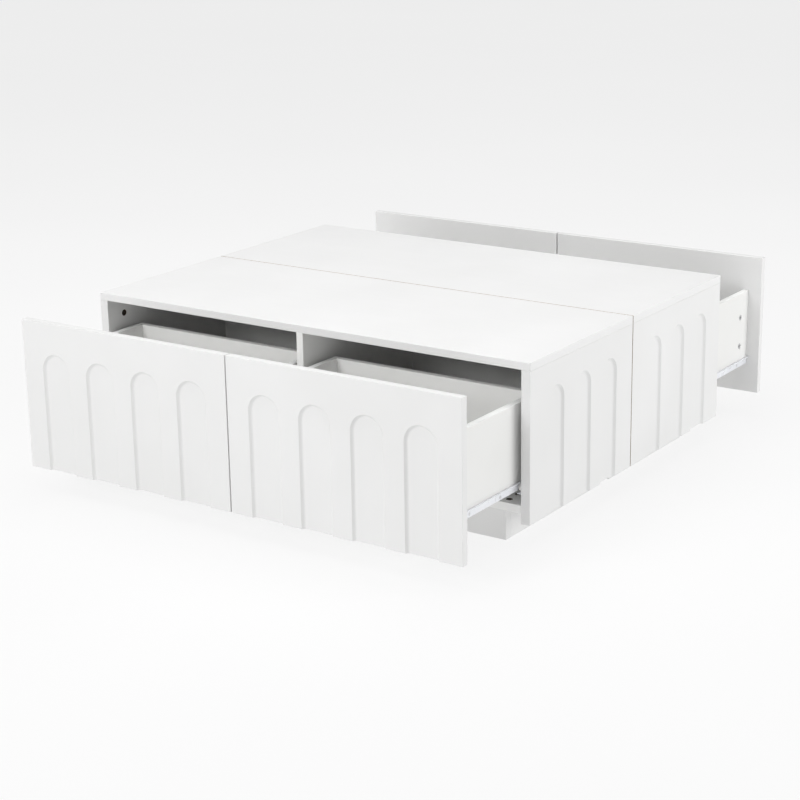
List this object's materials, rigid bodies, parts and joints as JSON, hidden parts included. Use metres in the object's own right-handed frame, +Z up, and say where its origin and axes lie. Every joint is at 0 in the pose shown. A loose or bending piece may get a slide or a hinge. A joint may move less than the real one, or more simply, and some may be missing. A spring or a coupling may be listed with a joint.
{
  "type": "platform bed base with storage drawers",
  "caption": "White platform bed base built from two back-to-back drawer units on recessed plinths, with roller drawers on both sides and arched panel relief.",
  "frame": {"origin": "on the floor at the middle of the platform, midway between the two units' backs", "axes": "+Z up; X along the drawer fronts; the front unit's drawers open towards -Y and the rear unit's towards +Y"},
  "size_m": [1.2, 1.44, 0.42],
  "materials": {
    "white_lacquer": "satin white lacquer on fibreboard",
    "plinth_board": "matt white board",
    "drawer_box_board": "matt white melamine on board",
    "white_coated_steel": "white epoxy coating on steel strip",
    "zinc_fitting": "die-cast zinc and zinc-plated steel",
    "bright_steel": "zinc-plated steel",
    "nylon_roller": "moulded nylon",
    "beech_dowel": "plain fluted beech"
  },
  "bodies": {
    "carcass": {"front_unit_top_panel": "white_lacquer", "front_unit_left_side_panel": "white_lacquer", "front_unit_right_side_panel": "white_lacquer", "front_unit_divider": "white_lacquer", "front_unit_back_panel": "white_lacquer", "front_unit_bottom_board": "white_lacquer", "front_unit_plinth_long_rails": "plinth_board", "front_unit_plinth_cross_rails": "plinth_board", "front_unit_runners": "white_coated_steel", "rear_unit_top_panel": "white_lacquer", "rear_unit_left_side_panel": "white_lacquer", "rear_unit_right_side_panel": "white_lacquer", "rear_unit_divider": "white_lacquer", "rear_unit_back_panel": "white_lacquer", "rear_unit_bottom_board": "white_lacquer", "rear_unit_plinth_long_rails": "plinth_board", "rear_unit_plinth_cross_rails": "plinth_board", "rear_unit_runners": "white_coated_steel", "carcass_cam_locks": "zinc_fitting", "carcass_cam_bolts": "bright_steel", "carcass_dowels": "beech_dowel", "plinth_screws": "bright_steel", "runner_screws": "bright_steel", "unit_sleeve_bolts": "bright_steel"},
    "drawer_1": {"drawer_1_front": "white_lacquer", "drawer_1_left_side": "drawer_box_board", "drawer_1_right_side": "drawer_box_board", "drawer_1_back": "drawer_box_board", "drawer_1_bottom": "drawer_box_board", "drawer_1_runners": "white_coated_steel", "drawer_1_fittings": "zinc_fitting"},
    "drawer_1_rear_roller_pair": {"drawer_1_rear_rollers": "nylon_roller"},
    "drawer_1_lead_roller_pair": {"drawer_1_lead_rollers": "nylon_roller"},
    "drawer_2": {"drawer_2_front": "white_lacquer", "drawer_2_left_side": "drawer_box_board", "drawer_2_right_side": "drawer_box_board", "drawer_2_back": "drawer_box_board", "drawer_2_bottom": "drawer_box_board", "drawer_2_runners": "white_coated_steel", "drawer_2_fittings": "zinc_fitting"},
    "drawer_2_rear_roller_pair": {"drawer_2_rear_rollers": "nylon_roller"},
    "drawer_2_lead_roller_pair": {"drawer_2_lead_rollers": "nylon_roller"},
    "drawer_3": {"drawer_3_front": "white_lacquer", "drawer_3_left_side": "drawer_box_board", "drawer_3_right_side": "drawer_box_board", "drawer_3_back": "drawer_box_board", "drawer_3_bottom": "drawer_box_board", "drawer_3_runners": "white_coated_steel", "drawer_3_fittings": "zinc_fitting"},
    "drawer_3_rear_roller_pair": {"drawer_3_rear_rollers": "nylon_roller"},
    "drawer_3_lead_roller_pair": {"drawer_3_lead_rollers": "nylon_roller"},
    "drawer_4": {"drawer_4_front": "white_lacquer", "drawer_4_left_side": "drawer_box_board", "drawer_4_right_side": "drawer_box_board", "drawer_4_back": "drawer_box_board", "drawer_4_bottom": "drawer_box_board", "drawer_4_runners": "white_coated_steel", "drawer_4_fittings": "zinc_fitting"},
    "drawer_4_rear_roller_pair": {"drawer_4_rear_rollers": "nylon_roller"},
    "drawer_4_lead_roller_pair": {"drawer_4_lead_rollers": "nylon_roller"}
  },
  "joints": [
    {"name": "drawer_1_slide", "type": "slide", "parent": "carcass", "child": "drawer_1", "axis": [0, -1, 0], "range_m": [-0.244, 0.034]},
    {"name": "drawer_1_rear_rollers_spin", "type": "hinge", "parent": "drawer_1", "child": "drawer_1_rear_roller_pair", "pos_m": [-0.2935, -0.364, 0.1355], "axis": [1, 0, 0], "range_deg": [-1750, 250]},
    {"name": "drawer_1_lead_rollers_spin", "type": "hinge", "parent": "carcass", "child": "drawer_1_lead_roller_pair", "pos_m": [-0.2935, -0.442, 0.1397], "axis": [1, 0, 0], "range_deg": [-1560, 220]},
    {"name": "drawer_2_slide", "type": "slide", "parent": "carcass", "child": "drawer_2", "axis": [0, -1, 0], "range_m": [-0.244, 0.034]},
    {"name": "drawer_2_rear_rollers_spin", "type": "hinge", "parent": "drawer_2", "child": "drawer_2_rear_roller_pair", "pos_m": [0.2935, -0.364, 0.1355], "axis": [1, 0, 0], "range_deg": [-1750, 250]},
    {"name": "drawer_2_lead_rollers_spin", "type": "hinge", "parent": "carcass", "child": "drawer_2_lead_roller_pair", "pos_m": [0.2935, -0.442, 0.1397], "axis": [1, 0, 0], "range_deg": [-1560, 220]},
    {"name": "drawer_3_slide", "type": "slide", "parent": "carcass", "child": "drawer_3", "axis": [0, 1, 0], "range_m": [-0.244, 0.034]},
    {"name": "drawer_3_rear_rollers_spin", "type": "hinge", "parent": "drawer_3", "child": "drawer_3_rear_roller_pair", "pos_m": [0.2935, 0.364, 0.1355], "axis": [-1, 0, 0], "range_deg": [-1750, 250]},
    {"name": "drawer_3_lead_rollers_spin", "type": "hinge", "parent": "carcass", "child": "drawer_3_lead_roller_pair", "pos_m": [0.2935, 0.442, 0.1397], "axis": [-1, 0, 0], "range_deg": [-1560, 220]},
    {"name": "drawer_4_slide", "type": "slide", "parent": "carcass", "child": "drawer_4", "axis": [0, 1, 0], "range_m": [-0.244, 0.034]},
    {"name": "drawer_4_rear_rollers_spin", "type": "hinge", "parent": "drawer_4", "child": "drawer_4_rear_roller_pair", "pos_m": [-0.2935, 0.364, 0.1355], "axis": [-1, 0, 0], "range_deg": [-1750, 250]},
    {"name": "drawer_4_lead_rollers_spin", "type": "hinge", "parent": "carcass", "child": "drawer_4_lead_roller_pair", "pos_m": [-0.2935, 0.442, 0.1397], "axis": [-1, 0, 0], "range_deg": [-1560, 220]}
  ],
  "couplings": [
    {"joint": "drawer_1_rear_rollers_spin", "follows": "drawer_1_slide", "rad_per_m": 125},
    {"joint": "drawer_1_lead_rollers_spin", "follows": "drawer_1_slide", "rad_per_m": 111.11},
    {"joint": "drawer_2_rear_rollers_spin", "follows": "drawer_2_slide", "rad_per_m": 125},
    {"joint": "drawer_2_lead_rollers_spin", "follows": "drawer_2_slide", "rad_per_m": 111.11},
    {"joint": "drawer_3_rear_rollers_spin", "follows": "drawer_3_slide", "rad_per_m": 125},
    {"joint": "drawer_3_lead_rollers_spin", "follows": "drawer_3_slide", "rad_per_m": 111.11},
    {"joint": "drawer_4_rear_rollers_spin", "follows": "drawer_4_slide", "rad_per_m": 125},
    {"joint": "drawer_4_lead_rollers_spin", "follows": "drawer_4_slide", "rad_per_m": 111.11}
  ]
}
